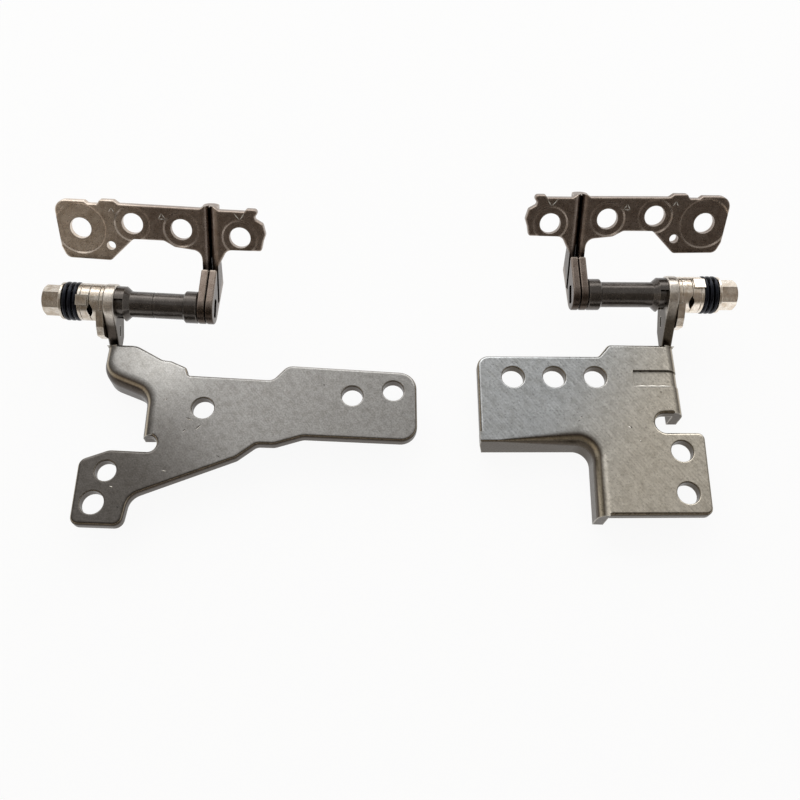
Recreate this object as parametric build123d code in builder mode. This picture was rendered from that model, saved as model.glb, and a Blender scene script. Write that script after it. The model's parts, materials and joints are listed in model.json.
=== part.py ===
from build123d import *

import os
from math import cos, radians, sin

# Laptop hinge pair, in millimetres. Both hinges lie with base plates flat and display brackets open.
# +Z is up, +Y points away from the user, and the origin is the middle of the footprint, on the surface below.
# Along each shaft, stations are measured from a point inside the base ear, growing towards the display ear.
# Outlines are lists of corners: two distances and the radius of the corner.

# Sheet stock, bends and edges
BASE_SHEET = 1.4
DISPLAY_SHEET = 1.0
BASE_BEND_RADIUS = 1.8
DISPLAY_BEND_RADIUS = 1.2
BASE_EDGE_ROLL = 0.45
DISPLAY_EDGE_ROLL = 0.25
EAR_EDGE_ROLL = 0.2
HOLE_EDGE_ROLL = 0.2
DISC_EDGE_ROLL = 0.12

# Fits
RUNNING_GAP = 0.03
SHAFT_CLEARANCE = 0.05
SEAT_CLEARANCE = 0.02
CUT_MARGIN = 1.0

# Place and pose of the two hinges
LEFT_EAR_X = -38.0
LEFT_EAR_Y = 7.77
LEFT_YAW = -3.2
RIGHT_YAW = 0.0
RIGHT_EAR_X = 38.05
RIGHT_EAR_Y = 9.47
OPEN_ANGLE = 130.0
CLOSE_TRAVEL = 130.0
OPEN_TRAVEL = 15.0

# Base brackets, seen from above
PLATE_DROP = 2.3
FLANGE_DEPTH = 4.2
FLANGE_FRONT_DEPTH = 2.8
EDGE_LEAN = 0.1
EAR_RADIUS = 2.6
EAR_FOOT = -5.1
EAR_FOOT_RISE = 0.2
EAR_SHOULDER_DROP = 0.3
EAR_INNER = 0.74
LEFT_BACK_EDGE = -5.0
LEFT_FLANGE_FRONT = -17.8
LEFT_NOTCH_WIDTH = 2.25
LEFT_NOTCH_END = 8.15
LEFT_MIDDLE_HOLE_RADIUS = 1.45
LEFT_END_HOLE_RADIUS = 1.4
LEFT_LEG_BACK_HOLE_RADIUS = 1.35
LEFT_LEG_FRONT_HOLE_RADIUS = 1.5
RIGHT_BACK_EDGE = -6.6
RIGHT_FLANGE_FRONT = -16.75
RIGHT_NOTCH_WIDTH = 2.8
RIGHT_NOTCH_END = 3.5
RIGHT_ARM_END = 26.95
RIGHT_ARM_FRONT = -20.8
RIGHT_ARM_TRIM = 0.5
RIGHT_LEG_INNER = 11.95
RIGHT_LEG_FRONT = -30.85
RIGHT_LEG_SPLAY = 0.4
RIGHT_TAPER_LEAD = 0.44
RIGHT_CORNER_RADIUS = 2.2
RIGHT_SHARP_BEND = 0.3
RIGHT_SHARP_START = 24.5
RIGHT_ROW_PITCH = 5.6
RIGHT_ROW_END = 10.9
RIGHT_ROW_Y = -11.5
RIGHT_ROW_HOLE_RADIUS = 1.52
RIGHT_LEG_PITCH = 5.75
RIGHT_LEG_HOLE_X = 0.5
RIGHT_LEG_HOLE_Y = -22.2
RIGHT_LEG_HOLE_RADIUS = 1.45
BEAD_DEPTH = 0.35
BEAD_FRONT = -12.8
BEAD_BACK = -10.45
BEAD_END = 5.7

# Slot in the base ear and the tongue of the fixed cam in it
SLOT_LENGTH = 1.4
SLOT_WIDTH = 0.42
SLOT_Y = -2.75
SLOT_Z = -2.75
SLOT_ANGLE = 31.0

# Stack on the shaft, outwards from the base ear
FRICTION_WASHER_THICKNESS = 0.5
FIXED_CAM_THICKNESS = 1.34
MOVING_CAM_THICKNESS = 1.17
TAB_WASHER_THICKNESS = 0.47
SPRING_COUNT = 3
SPRING_PITCH = 0.68
FLAT_WASHER_THICKNESS = 0.4
NUT_THICKNESS = 2.36
NUT_ACROSS_FLATS = 3.6
NUT_ANGLE = 27.0
NUT_CHAMFER_SLOPE = 0.6
STACK_RADIUS = 2.5
SPRING_RADIUS = 2.6
SPRING_BORE = 1.4
SPRING_DISH = 0.15
SPRING_ROUND = 0.22
CAM_VALLEY_RADIUS = 1.3
FIXED_CAM_VALLEY = 0.48
MOVING_CAM_VALLEY = 0.22
CAM_VALLEY_ANGLE = 146.0
CAM_LEG_THICKNESS = 0.95
CAM_LEG_CORNER = 0.4
TAB_WIDTH = 1.4
TAB_THICKNESS = 0.4
TAB_SEAT_RADIUS = 2.33
TAB_REACH = 1.05
LEFT_TAB_ANGLE = 114.0
RIGHT_TAB_ANGLE = 84.0

# Shaft
THREAD_RADIUS = 1.2
THREAD_PROTRUSION = 0.15
JOURNAL_RADIUS = 1.3
BODY_RADIUS = 1.74
FLANGE_RADIUS = 2.35
FLANGE_END = 1.92
CONE_END = 2.63
COLLAR_RADIUS = 2.15
COLLAR_START = 9.77
COLLAR_CHAMFER = 0.2
GROOVE_STATION = 5.75
GROOVE_WIDTH = 0.25
GROOVE_DEPTH = 0.15
TENON_RADIUS = 1.25
TENON_FLATS = 1.3
TENON_RECESS = 0.3
KEY_ANGLE = 24.0
KEY_FLATS = 1.8
STOP_NOTCH_START = 103.0
STOP_PIN_RADIUS = 0.3
STOP_PIN_CIRCLE = 2.12
STOP_PIN_LENGTH = 0.5
STOP_MARGIN = 12.0

# Display bracket, measured from the shaft axis along the plate and square to it
DISPLAY_FACE = -3.0
PLEAT_BACK = -6.3
PLEAT_TOP = 12.75
PLEAT_FOOT = 5.5
PLEAT_LAP = 0.5
NECK_RISE = 4.9
NECK_DROP = 0.4
HEEL_RISE = 1.5
EAR_SEAM = 12.72
EAR_SEAM_GAP = 0.1
DISPLAY_EAR_RADIUS = 2.15
DISPLAY_HOLE_RADIUS = 1.42
COIN_DEPTH = 0.18
COIN_WALL_SLOPE = 45.0
COIN_RADIUS = 2.4
COIN_RADIUS_LARGE = 3.45
LOCATING_HOLE_RADIUS = 0.6

# Sizes that follow from those above
AXIS_HEIGHT = FLANGE_DEPTH + PLATE_DROP
PLATE_TOP = -PLATE_DROP
FLOOR = -AXIS_HEIGHT
DISPLAY_TILT = 180.0 - OPEN_ANGLE
EAR_OUTER = EAR_INNER - BASE_SHEET
FIXED_CAM_INNER = EAR_OUTER - FRICTION_WASHER_THICKNESS
CAM_FACE = FIXED_CAM_INNER - FIXED_CAM_THICKNESS
MOVING_CAM_INNER = CAM_FACE - RUNNING_GAP
TAB_WASHER_INNER = MOVING_CAM_INNER - MOVING_CAM_THICKNESS
SPRINGS_INNER = TAB_WASHER_INNER - TAB_WASHER_THICKNESS
FLAT_WASHER_INNER = SPRINGS_INNER - SPRING_COUNT * SPRING_PITCH
NUT_INNER = FLAT_WASHER_INNER - FLAT_WASHER_THICKNESS
NUT_OUTER = NUT_INNER - NUT_THICKNESS
THREAD_END = NUT_OUTER - THREAD_PROTRUSION
FLANGE_START = EAR_INNER + RUNNING_GAP
NECK_FACE = DISPLAY_FACE - NECK_DROP
SEAM_INNER = EAR_SEAM - EAR_SEAM_GAP / 2
SEAM_OUTER = EAR_SEAM + EAR_SEAM_GAP / 2
HALF_FOLD = DISPLAY_SHEET + EAR_SEAM_GAP / 2
DISPLAY_EAR_INNER = SEAM_INNER - DISPLAY_SHEET
DISPLAY_EAR_OUTER = SEAM_OUTER + DISPLAY_SHEET
STOP_PIN_ANGLE = STOP_NOTCH_START + CLOSE_TRAVEL + STOP_MARGIN
STOP_NOTCH_END = STOP_PIN_ANGLE + OPEN_TRAVEL + STOP_MARGIN


class Hinge:
    """Working planes of one hinge; side is 1 for the left hinge and -1 for the right, its mirror image."""

    def __init__(self, name, side, ear_x, ear_y, yaw, tab_angle):
        along = (cos(radians(yaw)), sin(radians(yaw)), 0)
        self.name = name
        self.side = side
        self.tab_angle = tab_angle
        self.frame = Plane(origin=(ear_x, ear_y, AXIS_HEIGHT), x_dir=along, z_dir=(0, 0, 1))
        normal = self.frame.z_dir * cos(radians(DISPLAY_TILT)) - self.frame.y_dir * sin(radians(DISPLAY_TILT))
        self.display = Plane(origin=self.frame.origin, x_dir=self.frame.x_dir, z_dir=normal)
        self.axis = Axis(self.frame.origin, self.frame.x_dir)

    def plan(self, height):
        """Level plane at a height over the shaft axis; x runs along the shaft, y to the back."""
        return self.frame.offset(height)

    def across(self, station):
        """Plane square to the shaft at a station; x runs to the back, y up."""
        square = Plane(origin=self.frame.origin, x_dir=self.frame.y_dir, z_dir=self.frame.x_dir)
        return square.offset(self.side * station)

    def lid(self, height):
        """Plane along the display plate; x runs along the shaft, y up the plate."""
        return self.display.offset(height)

    def lid_across(self, station):
        """Plane square to the shaft, turned with the display plate; x runs up the plate, y out of its face."""
        square = Plane(origin=self.frame.origin, x_dir=self.display.y_dir, z_dir=self.display.x_dir)
        return square.offset(self.side * station)

    def corners(self, outline):
        """Points and corner radii of an outline given as (station, distance, radius)."""
        points = [(self.side * station, distance) for station, distance, radius in outline]
        radii = [radius for station, distance, radius in outline]
        return points, radii

    def save(self, builder, piece):
        """Label a finished piece and write it."""
        builder.part.label = f"{self.name}_{piece}"
        export_step(builder.part, f"parts/{self.name}_{piece}.step")


def polar(radius, angle):
    """Point at a radius and an angle in degrees."""
    return (radius * cos(radians(angle)), radius * sin(radians(angle)))


def outline_face(hinge, outline):
    """Face inside a closed outline with rounded corners, in the sketch that is open."""
    points, radii = hinge.corners(outline)
    with BuildLine() as loop:
        FilletPolyline(*points, radius=radii, close=True)
    make_face(loop.edges())


def double_d(radius, across_flats):
    """Round section with two flats, as on the keyed ends of the shaft."""
    with BuildSketch(Plane.XY, mode=Mode.PRIVATE) as section:
        Circle(radius)
        Rectangle(2 * radius, across_flats, rotation=KEY_ANGLE, mode=Mode.INTERSECT)
    return section.sketch_local


def bend_corner(radius):
    """Waste outside a round bend: x runs into the sheet from the outer face, y up from the plate's top."""
    middle = (radius - radius * cos(radians(45)), -radius + radius * sin(radians(45)))
    with BuildLine() as loop:
        Polyline(
            (0, -radius),
            (-CUT_MARGIN, -radius),
            (-CUT_MARGIN, CUT_MARGIN),
            (radius, CUT_MARGIN),
            (radius, 0),
        )
        ThreePointArc((radius, 0), middle, (0, -radius))
    make_face(loop.edges())


def ear_profile(back_edge):
    """Side view of a base ear: a strip that rises from under the plate's back edge to the round end."""
    shoulder = PLATE_TOP - BASE_BEND_RADIUS - EAR_SHOULDER_DROP
    with BuildLine() as loop:
        CenterArc((0, 0), EAR_RADIUS, 0, 360)
        Polyline((back_edge, shoulder), (back_edge, EAR_FOOT), (back_edge / 2, EAR_FOOT + EAR_FOOT_RISE))
    make_hull(loop.edges())


def rounded_sheet(sheet, thickness, normal):
    """Round both rims of a flat piece that stands alone, in the part that is open."""
    rims = sheet.edges().filter_by(lambda edge: abs((edge @ 1 - edge @ 0).dot(normal)) < thickness / 2)
    fillet(rims, radius=EAR_EDGE_ROLL)


def base_ear(hinge, back_edge):
    """Upright ear of a base bracket by itself, with its rims rounded."""
    with BuildPart() as ear:
        with BuildSketch(hinge.across(EAR_OUTER)):
            ear_profile(back_edge)
        extrude(amount=hinge.side * BASE_SHEET)
        rounded_sheet(ear, BASE_SHEET, hinge.frame.x_dir)
    return ear.part


def roll_plate_edge(plate):
    """Round the top edge of a base plate all the way round, in the part that is open."""
    fillet(plate.faces().sort_by(Axis.Z)[-1].outer_wire().edges(), radius=BASE_EDGE_ROLL)


def cut_ear_features(hinge):
    """Shaft bore, tongue slot and stop pin of a base ear, in the part that is open."""
    with BuildSketch(hinge.across(EAR_OUTER)) as openings:
        Circle(JOURNAL_RADIUS + SHAFT_CLEARANCE)
        with Locations((SLOT_Y, SLOT_Z)):
            Rectangle(SLOT_LENGTH, SLOT_WIDTH, rotation=SLOT_ANGLE)
    extrude(openings.sketch, amount=hinge.side * BASE_SHEET, mode=Mode.SUBTRACT)
    with BuildSketch(hinge.across(EAR_INNER - SEAT_CLEARANCE)) as pin:
        with Locations(polar(STOP_PIN_CIRCLE, STOP_PIN_ANGLE)):
            Circle(STOP_PIN_RADIUS)
    extrude(pin.sketch, amount=hinge.side * (STOP_PIN_LENGTH + SEAT_CLEARANCE))


def cut_holes(hinge, bracket, holes):
    """Screw holes of a base plate with their top rims rounded, in the part that is open."""
    with BuildSketch(hinge.plan(PLATE_TOP)) as openings:
        for station, back, radius in holes:
            with Locations((hinge.side * station, back)):
                Circle(radius)
    extrude(openings.sketch, amount=-BASE_SHEET, mode=Mode.SUBTRACT)
    rims = bracket.edges().filter_by(GeomType.CIRCLE).filter_by(
        lambda edge: edge.is_closed
        and abs(hinge.frame.to_local_coords(edge.arc_center).Z - PLATE_TOP) < SEAT_CLEARANCE)
    fillet(rims, radius=HOLE_EDGE_ROLL)


def round_bend(hinge, points, radii):
    """Round a bend along a line on the plate's top, with the sheet on its left, in the part that is open."""
    top = hinge.plan(PLATE_TOP)
    with BuildLine(top) as path:
        FilletPolyline(*points, radius=radii)
    start = path.line % 0
    with BuildSketch(Plane(origin=path.line @ 0, x_dir=top.z_dir.cross(start), z_dir=start)) as waste:
        bend_corner(BASE_BEND_RADIUS)
    sweep(waste.sketch, path=path.line, mode=Mode.SUBTRACT)


def left_base_bracket(hinge):
    """Long plate with a slanted leg; its outer edge turns down in an S and runs back into the ear."""
    flange = [
        (6.05, LEFT_FLANGE_FRONT, 0),
        (5.75, -12.0, 2.2),
        (EAR_OUTER, -9.6, 3.2),
        (EAR_OUTER, LEFT_BACK_EDGE, 0),
    ]
    plate = [
        (3.4, LEFT_BACK_EDGE + EDGE_LEAN, 2.5),
        (7.2, -6.85, 1.5),
        (8.4, -6.95, 1.2),
        (10.5, -7.8, 0.5),
        (10.9, -8.95, 0.5),
        (22.2, -9.0, 1.4),
        (24.0, -6.75, 1.6),
        (41.35, -6.9, 2.4),
        (41.85, -16.85, 2.2),
        (26.9, -16.95, 2.0),
        (23.3, -18.25, 1.5),
        (21.0, -18.3, 1.2),
        (18.6, -20.35, 1.2),
        (5.75, -26.15, 2.2),
        (5.4, -30.05, 1.2),
        (-1.0, -30.15, 1.1),
        (-1.3, -21.6, 1.2),
        (2.3, LEFT_FLANGE_FRONT - LEFT_NOTCH_WIDTH, 2.0),
        (6.05, LEFT_FLANGE_FRONT - LEFT_NOTCH_WIDTH, 0),
    ]
    holes = [
        (13.5, -13.65, LEFT_MIDDLE_HOLE_RADIUS),
        (32.95, -10.8, LEFT_END_HOLE_RADIUS),
        (38.35, -9.75, LEFT_END_HOLE_RADIUS),
        (2.35, -22.95, LEFT_LEG_BACK_HOLE_RADIUS),
        (1.35, -27.2, LEFT_LEG_FRONT_HOLE_RADIUS),
    ]
    points, radii = hinge.corners(flange)
    notch_y = LEFT_FLANGE_FRONT - LEFT_NOTCH_WIDTH / 2
    ear = base_ear(hinge, LEFT_BACK_EDGE)
    with BuildPart() as bracket:
        with BuildSketch(hinge.plan(PLATE_TOP)):
            outline_face(hinge, flange + plate)
            with Locations((hinge.side * (LEFT_NOTCH_END - LEFT_NOTCH_WIDTH), notch_y)):
                SlotCenterToCenter(LEFT_NOTCH_WIDTH, LEFT_NOTCH_WIDTH, mode=Mode.SUBTRACT)
        extrude(amount=-BASE_SHEET)
        roll_plate_edge(bracket)
        with BuildSketch(hinge.plan(PLATE_TOP)):
            with BuildLine():
                FilletPolyline(*points, radius=radii[1:-1])
                offset(amount=BASE_SHEET, side=Side.RIGHT)
            make_face()
        extrude(amount=-FLANGE_DEPTH)
        add(ear)
        with BuildSketch(hinge.across(EAR_OUTER - CUT_MARGIN)):
            with BuildLine():
                Polyline(
                    (LEFT_BACK_EDGE - FLANGE_DEPTH, FLOOR),
                    (LEFT_FLANGE_FRONT, PLATE_TOP - FLANGE_FRONT_DEPTH),
                    (LEFT_FLANGE_FRONT - CUT_MARGIN, FLOOR - CUT_MARGIN),
                    (LEFT_BACK_EDGE - FLANGE_DEPTH, FLOOR - CUT_MARGIN),
                    close=True,
                )
            make_face()
        extrude(amount=hinge.side * LEFT_NOTCH_END * 2, mode=Mode.SUBTRACT)
        into_notch = (points[0][0], points[0][1] - LEFT_NOTCH_WIDTH / 2)
        round_bend(hinge, [*reversed(points[1:]), into_notch], radii[2:0:-1])
        cut_ear_features(hinge)
        cut_holes(hinge, bracket, holes)
    hinge.save(bracket, "base_bracket")


def right_base_bracket(hinge):
    """L-shaped plate; the outer edge turns down into the ear and the inner edges into a tapering flange."""
    side = hinge.side
    inner_flange = [
        (RIGHT_ARM_END, RIGHT_ARM_FRONT, 0),
        (RIGHT_LEG_INNER, RIGHT_ARM_FRONT, RIGHT_CORNER_RADIUS),
        (RIGHT_LEG_INNER + RIGHT_LEG_SPLAY, RIGHT_LEG_FRONT, 0),
    ]
    plate = [
        (-2.4, RIGHT_LEG_FRONT, 1.0),
        (-2.85, RIGHT_FLANGE_FRONT - RIGHT_NOTCH_WIDTH, 0.9),
        (EAR_OUTER, RIGHT_FLANGE_FRONT - RIGHT_NOTCH_WIDTH, 0),
        (EAR_OUTER, RIGHT_BACK_EDGE, 0),
        (8.6, RIGHT_BACK_EDGE + EDGE_LEAN, 0.8),
        (10.1, -8.3, 0.8),
        (RIGHT_ARM_END - EDGE_LEAN, -8.25, 1.6),
    ]
    row = [(RIGHT_ROW_END + step * RIGHT_ROW_PITCH, RIGHT_ROW_Y, RIGHT_ROW_HOLE_RADIUS) for step in range(3)]
    leg = [
        (RIGHT_LEG_HOLE_X, RIGHT_LEG_HOLE_Y - step * RIGHT_LEG_PITCH, RIGHT_LEG_HOLE_RADIUS)
        for step in range(2)
    ]
    points, radii = hinge.corners(inner_flange)
    taper_start = side * (RIGHT_LEG_INNER + RIGHT_CORNER_RADIUS + RIGHT_TAPER_LEAD)
    notch_y = RIGHT_FLANGE_FRONT - RIGHT_NOTCH_WIDTH / 2
    top = hinge.plan(PLATE_TOP)
    ear = base_ear(hinge, RIGHT_BACK_EDGE)
    with BuildPart() as bracket:
        with BuildSketch(top):
            outline_face(hinge, inner_flange + plate)
            with Locations((side * (RIGHT_NOTCH_END - RIGHT_NOTCH_WIDTH * 1.5), notch_y)):
                SlotCenterToCenter(2 * RIGHT_NOTCH_WIDTH, RIGHT_NOTCH_WIDTH, mode=Mode.SUBTRACT)
        extrude(amount=-BASE_SHEET)
        roll_plate_edge(bracket)
        with BuildSketch(top):
            with BuildLine():
                FilletPolyline(*points, radius=radii[1:-1])
                offset(amount=BASE_SHEET, side=Side.LEFT)
            make_face()
        extrude(amount=-FLANGE_DEPTH)
        # Round bend of the inner flange: along the leg, round the corner, and tapering along the arm.
        arm_start = top.from_local_coords((taper_start, RIGHT_ARM_FRONT, 0))
        sharp_start = top.from_local_coords((side * RIGHT_SHARP_START, RIGHT_ARM_FRONT, 0))
        past_leg = (points[2][0], points[2][1] - CUT_MARGIN)
        round_bend(hinge, [(taper_start, RIGHT_ARM_FRONT), points[1], past_leg], RIGHT_CORNER_RADIUS)
        with BuildSketch(Plane(origin=arm_start, x_dir=top.y_dir, z_dir=top.x_dir)):
            bend_corner(BASE_BEND_RADIUS)
        with BuildSketch(Plane(origin=sharp_start, x_dir=top.y_dir, z_dir=top.x_dir)):
            bend_corner(RIGHT_SHARP_BEND)
        loft(ruled=True, mode=Mode.SUBTRACT)
        with BuildSketch(Plane(origin=sharp_start, x_dir=top.y_dir, z_dir=top.x_dir)):
            bend_corner(RIGHT_SHARP_BEND)
        extrude(amount=side * (RIGHT_ARM_END - RIGHT_SHARP_START + CUT_MARGIN), mode=Mode.SUBTRACT)
        # Slanted end of the flange under the arm.
        arm_front = top.from_local_coords((0, RIGHT_ARM_FRONT, 0))
        with BuildSketch(Plane(origin=arm_front, x_dir=side * top.x_dir, z_dir=-side * top.y_dir)):
            with BuildLine():
                Polyline(
                    (RIGHT_ARM_END + CUT_MARGIN, -BASE_SHEET),
                    (RIGHT_ARM_END, -BASE_SHEET),
                    (RIGHT_ARM_END - RIGHT_ARM_TRIM, -FLANGE_DEPTH),
                    (RIGHT_ARM_END - RIGHT_ARM_TRIM, -FLANGE_DEPTH - CUT_MARGIN),
                    (RIGHT_ARM_END + CUT_MARGIN, -FLANGE_DEPTH - CUT_MARGIN),
                    close=True,
                )
            make_face()
        extrude(amount=BASE_SHEET + CUT_MARGIN, both=True, mode=Mode.SUBTRACT)
        # Outer flange and ear, with the stiffening bead pressed across the bend.
        with BuildSketch(top):
            with Locations((side * (EAR_OUTER + BASE_SHEET / 2), (RIGHT_BACK_EDGE + RIGHT_FLANGE_FRONT) / 2)):
                Rectangle(BASE_SHEET, RIGHT_BACK_EDGE - RIGHT_FLANGE_FRONT)
        extrude(amount=-FLANGE_DEPTH)
        add(ear)
        outer_bend = [
            (side * EAR_OUTER, RIGHT_FLANGE_FRONT - RIGHT_NOTCH_WIDTH / 2),
            (side * EAR_OUTER, RIGHT_FLANGE_FRONT),
            (side * EAR_OUTER, RIGHT_BACK_EDGE),
        ]
        round_bend(hinge, outer_bend, 0)
        bead_start = top.from_local_coords((side * EAR_OUTER, BEAD_FRONT, 0))
        turn = BASE_BEND_RADIUS * (1 - cos(radians(45))) + BEAD_DEPTH / 2
        with BuildSketch(Plane(origin=bead_start, x_dir=side * top.x_dir, z_dir=-side * top.y_dir)):
            with BuildLine():
                Polyline(
                    (BASE_BEND_RADIUS, -BEAD_DEPTH),
                    (BEAD_END - EAR_OUTER, -BEAD_DEPTH),
                    (BEAD_END - EAR_OUTER, CUT_MARGIN),
                    (-CUT_MARGIN, CUT_MARGIN),
                    (-CUT_MARGIN, -BASE_BEND_RADIUS),
                    (0, -BASE_BEND_RADIUS),
                )
                ThreePointArc((0, -BASE_BEND_RADIUS), (turn, -turn), (BASE_BEND_RADIUS, -BEAD_DEPTH))
            make_face()
        extrude(amount=-side * (BEAD_BACK - BEAD_FRONT), mode=Mode.SUBTRACT)
        cut_ear_features(hinge)
        cut_holes(hinge, bracket, row + leg)
    hinge.save(bracket, "base_bracket")


def round_rims(disc):
    """Round both outer rims of a disc, in the part that is open."""
    rims = disc.edges().filter_by(GeomType.CIRCLE).filter_by(
        lambda edge: abs(edge.radius - STACK_RADIUS) < SEAT_CLEARANCE)
    fillet(rims, radius=DISC_EDGE_ROLL)


def cam_valleys(hinge, face, depth):
    """Valley across a cam face, in the part that is open; its depth is positive towards the display ear."""
    centre = face + depth - (CAM_VALLEY_RADIUS if depth > 0 else -CAM_VALLEY_RADIUS)
    square = hinge.across(centre)
    ray = polar(1, CAM_VALLEY_ANGLE)
    radial = square.x_dir * ray[0] + square.y_dir * ray[1]
    with BuildSketch(Plane(origin=square.origin, x_dir=square.z_dir, z_dir=radial)) as valley:
        Circle(CAM_VALLEY_RADIUS)
    extrude(valley.sketch, amount=2 * STACK_RADIUS, both=True, mode=Mode.SUBTRACT)


def fixed_cam(hinge):
    """Cam disc with a leg beside the ear and a tongue through the ear's slot, which keeps it from turning."""
    leg = [(-1.6, 1.85), (-3.7, 0.1), (-4.5, -1.1), (-3.9, -3.1), (-2.6, -3.6), (-1.0, -2.25)]
    with BuildPart() as cam:
        with BuildSketch(hinge.across(CAM_FACE)):
            Circle(STACK_RADIUS)
        extrude(amount=hinge.side * FIXED_CAM_THICKNESS)
        round_rims(cam)
        cam_valleys(hinge, CAM_FACE, FIXED_CAM_VALLEY)
        with BuildSketch(hinge.across(FIXED_CAM_INNER)):
            with BuildLine():
                FilletPolyline(*leg, radius=CAM_LEG_CORNER, close=True)
            make_face()
        extrude(amount=hinge.side * (FRICTION_WASHER_THICKNESS - CAM_LEG_THICKNESS))
        with BuildSketch(hinge.across(FIXED_CAM_INNER)):
            with BuildLine():
                FilletPolyline(*leg, radius=CAM_LEG_CORNER, close=True)
            make_face()
            Circle(STACK_RADIUS + RUNNING_GAP, mode=Mode.SUBTRACT)
        extrude(amount=hinge.side * FRICTION_WASHER_THICKNESS)
        with BuildSketch(hinge.across(EAR_OUTER)):
            with Locations((SLOT_Y, SLOT_Z)):
                Rectangle(
                    SLOT_LENGTH - 2 * SEAT_CLEARANCE,
                    SLOT_WIDTH - 2 * SEAT_CLEARANCE,
                    rotation=SLOT_ANGLE,
                )
        extrude(amount=hinge.side * (BASE_SHEET - TENON_RECESS))
        with BuildSketch(hinge.across(CAM_FACE)):
            Circle(JOURNAL_RADIUS + SHAFT_CLEARANCE)
        extrude(amount=hinge.side * FIXED_CAM_THICKNESS, mode=Mode.SUBTRACT)
    hinge.save(cam, "fixed_cam")


def friction_washer(hinge):
    """Plain washer between the fixed cam and the ear."""
    with BuildPart() as washer:
        with BuildSketch(hinge.across(FIXED_CAM_INNER)):
            Circle(STACK_RADIUS)
            Circle(JOURNAL_RADIUS + SHAFT_CLEARANCE, mode=Mode.SUBTRACT)
        extrude(amount=hinge.side * FRICTION_WASHER_THICKNESS)
        round_rims(washer)
    hinge.save(washer, "friction_washer")


def shaft(hinge, grooved):
    """Turned pin: keyed thread end, journal, flange with the stop notch, body, collar and keyed tenon."""
    side = hinge.side
    profile = [
        (THREAD_END, THREAD_RADIUS),
        (MOVING_CAM_INNER, THREAD_RADIUS),
        (MOVING_CAM_INNER, JOURNAL_RADIUS),
        (FLANGE_START, JOURNAL_RADIUS),
        (FLANGE_START, FLANGE_RADIUS),
        (FLANGE_END, FLANGE_RADIUS),
        (CONE_END, BODY_RADIUS),
        (COLLAR_START, BODY_RADIUS),
        (COLLAR_START, COLLAR_RADIUS),
        (DISPLAY_EAR_INNER, COLLAR_RADIUS),
    ]
    with BuildPart() as pin:
        with BuildSketch(hinge.plan(0)):
            with BuildLine():
                Polyline(
                    (side * THREAD_END, 0),
                    *[(side * station, radius) for station, radius in profile],
                    (side * DISPLAY_EAR_INNER, 0),
                    close=True,
                )
            make_face()
        revolve(axis=hinge.axis)
        collar_edges = pin.edges().filter_by(GeomType.CIRCLE).filter_by(
            lambda edge: abs(edge.radius - COLLAR_RADIUS) < SEAT_CLEARANCE)
        chamfer(collar_edges, length=COLLAR_CHAMFER)
        with BuildSketch(hinge.across(THREAD_END)):
            Circle(THREAD_RADIUS)
            add(double_d(THREAD_RADIUS, KEY_FLATS), mode=Mode.SUBTRACT)
        extrude(amount=side * (MOVING_CAM_INNER - THREAD_END), mode=Mode.SUBTRACT)
        with BuildSketch(hinge.across(FLANGE_START)):
            with BuildLine():
                Polyline(
                    (0, 0),
                    polar(2 * FLANGE_RADIUS, STOP_NOTCH_START),
                    polar(4 * FLANGE_RADIUS, (STOP_NOTCH_START + STOP_NOTCH_END) / 2),
                    polar(2 * FLANGE_RADIUS, STOP_NOTCH_END),
                    close=True,
                )
            make_face()
            Circle(BODY_RADIUS, mode=Mode.SUBTRACT)
        extrude(amount=side * (FLANGE_END - FLANGE_START), mode=Mode.SUBTRACT)
        if grooved:
            with BuildSketch(hinge.across(GROOVE_STATION - GROOVE_WIDTH / 2)):
                Circle(BODY_RADIUS + CUT_MARGIN)
                Circle(BODY_RADIUS - GROOVE_DEPTH, mode=Mode.SUBTRACT)
            extrude(amount=side * GROOVE_WIDTH, mode=Mode.SUBTRACT)
        with BuildSketch(hinge.across(DISPLAY_EAR_INNER)):
            add(double_d(TENON_RADIUS, TENON_FLATS))
        extrude(amount=side * (DISPLAY_EAR_OUTER - DISPLAY_EAR_INNER - TENON_RECESS))
    hinge.save(pin, "shaft")


def display_ear_layer(hinge, station):
    """One layer of the doubled display ear by itself, from the neck to the round end, with its rims rounded."""
    lap = PLEAT_FOOT + PLEAT_LAP
    with BuildPart() as layer:
        with BuildSketch(hinge.lid_across(station)):
            with BuildLine() as loop:
                CenterArc((0, 0), DISPLAY_EAR_RADIUS, 0, 360)
                Polyline(
                    (NECK_RISE, NECK_FACE),
                    (lap, NECK_FACE),
                    (lap, PLEAT_BACK + DISPLAY_SHEET),
                    (HEEL_RISE, PLEAT_BACK),
                )
            make_hull(loop.edges())
        extrude(amount=hinge.side * DISPLAY_SHEET)
        rounded_sheet(layer, DISPLAY_SHEET, hinge.frame.x_dir)
    return layer.part


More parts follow.
